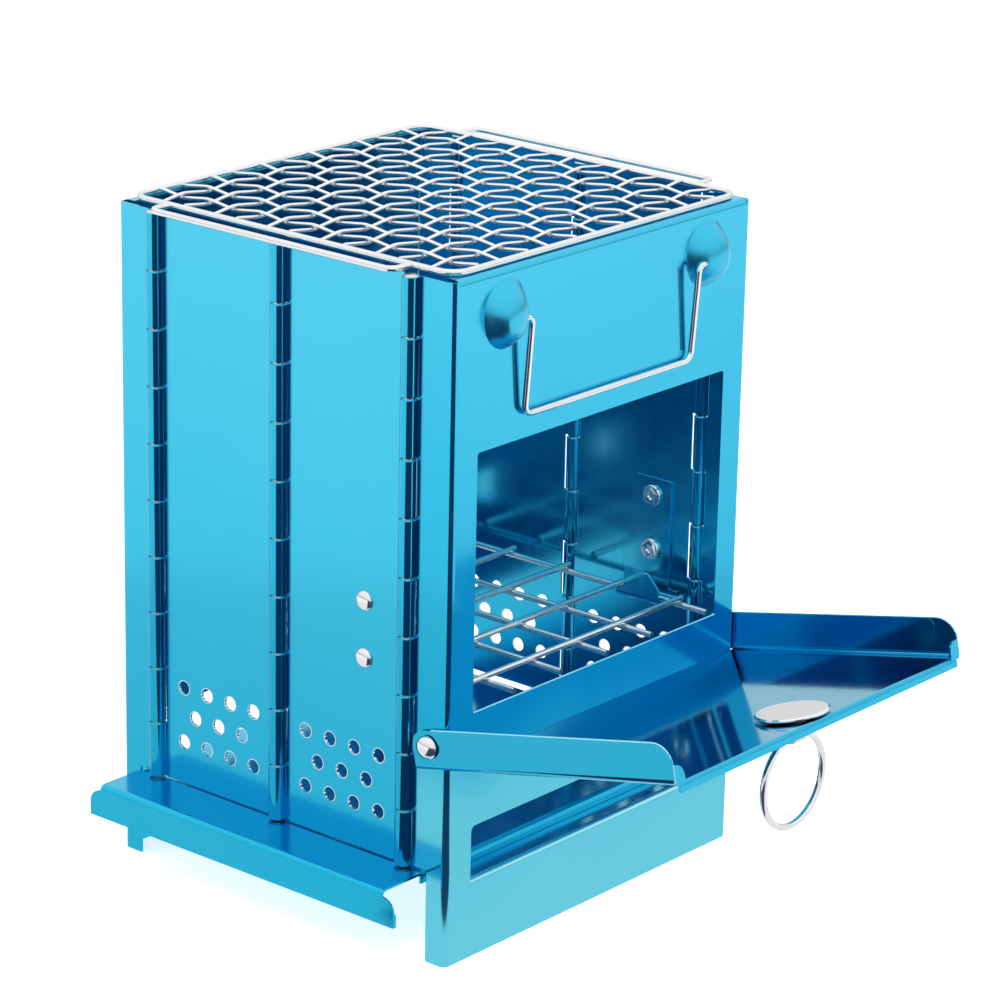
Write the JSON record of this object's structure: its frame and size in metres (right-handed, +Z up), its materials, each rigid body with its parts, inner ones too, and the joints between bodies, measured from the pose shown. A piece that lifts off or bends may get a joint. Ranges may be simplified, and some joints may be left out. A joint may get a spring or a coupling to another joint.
{
  "type": "folding camping wood stove",
  "caption": "Box-shaped folding wood stove of blue steel sheet, with a drop-down fuel door, an ash tray, a fire grate and a woven cooking grate on top.",
  "frame": {"origin": "on the ground, at the centre of the rectangle that the four walls stand on", "axes": "+Z up; the fuel door faces -Y; the ash tray pulls out along -X"},
  "size_m": [0.162, 0.2187, 0.2128],
  "materials": {
    "blue_sheet": "glossy transparent blue over bright sheet steel, fine brushing",
    "pin_steel": "drawn steel pin, semi-gloss",
    "polished_steel": "polished",
    "bright_wire": "bright drawn stainless wire"
  },
  "bodies": {
    "rear_wall": {"rear_panel": "blue_sheet", "left_rear_pin": "pin_steel", "right_rear_pin": "pin_steel"},
    "left_rear_wall": {"left_rear_leaf": "blue_sheet", "left_centre_pin": "pin_steel"},
    "left_front_wall": {"left_front_leaf": "blue_sheet", "left_grate_bracket": "blue_sheet", "left_bracket_rivets": "polished_steel"},
    "right_rear_wall": {"right_rear_leaf": "blue_sheet", "right_centre_pin": "pin_steel"},
    "right_front_wall": {"right_front_leaf": "blue_sheet", "right_grate_bracket": "blue_sheet", "right_bracket_rivets": "polished_steel"},
    "front_wall": {"front_panel": "blue_sheet", "left_front_pin": "pin_steel", "right_front_pin": "pin_steel", "left_door_rivet": "polished_steel", "right_door_rivet": "polished_steel"},
    "fuel_door": {"door": "blue_sheet", "pull_disc": "polished_steel", "pull_eye": "polished_steel"},
    "ring": {"pull_ring": "bright_wire"},
    "bail": {"bail_handle": "bright_wire"},
    "tray": {"ash_tray": "blue_sheet"},
    "fire_grate": {"fire_grate_long_bars": "bright_wire", "fire_grate_cross_bars": "bright_wire"},
    "cooking_grate": {"cooking_grate_frame": "bright_wire", "cooking_grate_warp": "bright_wire", "cooking_grate_weft": "bright_wire", "cooking_grate_left_handle": "bright_wire", "cooking_grate_right_handle": "bright_wire"}
  },
  "joints": [
    {"name": "left_rear_hinge", "type": "hinge", "parent": "rear_wall", "child": "left_rear_wall", "pos_m": [-0.0693, 0.051, 0], "axis": [0, 0, 1], "range_deg": [0, 5]},
    {"name": "left_centre_hinge", "type": "hinge", "parent": "left_rear_wall", "child": "left_front_wall", "pos_m": [-0.0693, 0, 0], "axis": [0, 0, 1], "range_deg": [-10, 0]},
    {"name": "left_front_hinge", "type": "hinge", "parent": "left_front_wall", "child": "front_wall", "pos_m": [-0.0693, -0.051, 0], "axis": [0, 0, 1], "range_deg": [0, 5]},
    {"name": "right_rear_hinge", "type": "hinge", "parent": "rear_wall", "child": "right_rear_wall", "pos_m": [0.0693, 0.051, 0], "axis": [0, 0, 1], "range_deg": [-5, 0]},
    {"name": "right_centre_hinge", "type": "hinge", "parent": "right_rear_wall", "child": "right_front_wall", "pos_m": [0.0693, 0, 0], "axis": [0, 0, 1], "range_deg": [0, 10]},
    {"name": "door_pivot", "type": "hinge", "parent": "front_wall", "child": "fuel_door", "pos_m": [0, -0.0603, 0.0689], "axis": [-1, 0, 0], "range_deg": [0, 73.5]},
    {"name": "ring_swing", "type": "hinge", "parent": "fuel_door", "child": "ring", "pos_m": [0, -0.14113, 0.0752], "axis": [-1, 0, 0], "range_deg": [-75, 60]},
    {"name": "bail_swing", "type": "hinge", "parent": "front_wall", "child": "bail", "pos_m": [0, -0.0706, 0.195], "axis": [-1, 0, 0], "range_deg": [0, 175]},
    {"name": "tray_slide", "type": "slide", "parent": "rear_wall", "child": "tray", "axis": [-1, 0, 0], "range_m": [0, 0.155]},
    {"name": "fire_grate_lift", "type": "slide", "parent": "rear_wall", "child": "fire_grate", "axis": [0, 0, 1], "range_m": [0, 0.08]},
    {"name": "cooking_grate_lift", "type": "slide", "parent": "rear_wall", "child": "cooking_grate", "axis": [0, 0, 1], "range_m": [0, 0.06]}
  ],
  "couplings": [
    {"joint": "left_centre_hinge", "follows": "left_rear_hinge", "ratio": -2},
    {"joint": "left_front_hinge", "follows": "left_rear_hinge", "ratio": 1},
    {"joint": "right_rear_hinge", "follows": "left_rear_hinge", "ratio": -1},
    {"joint": "right_centre_hinge", "follows": "left_rear_hinge", "ratio": 2}
  ]
}
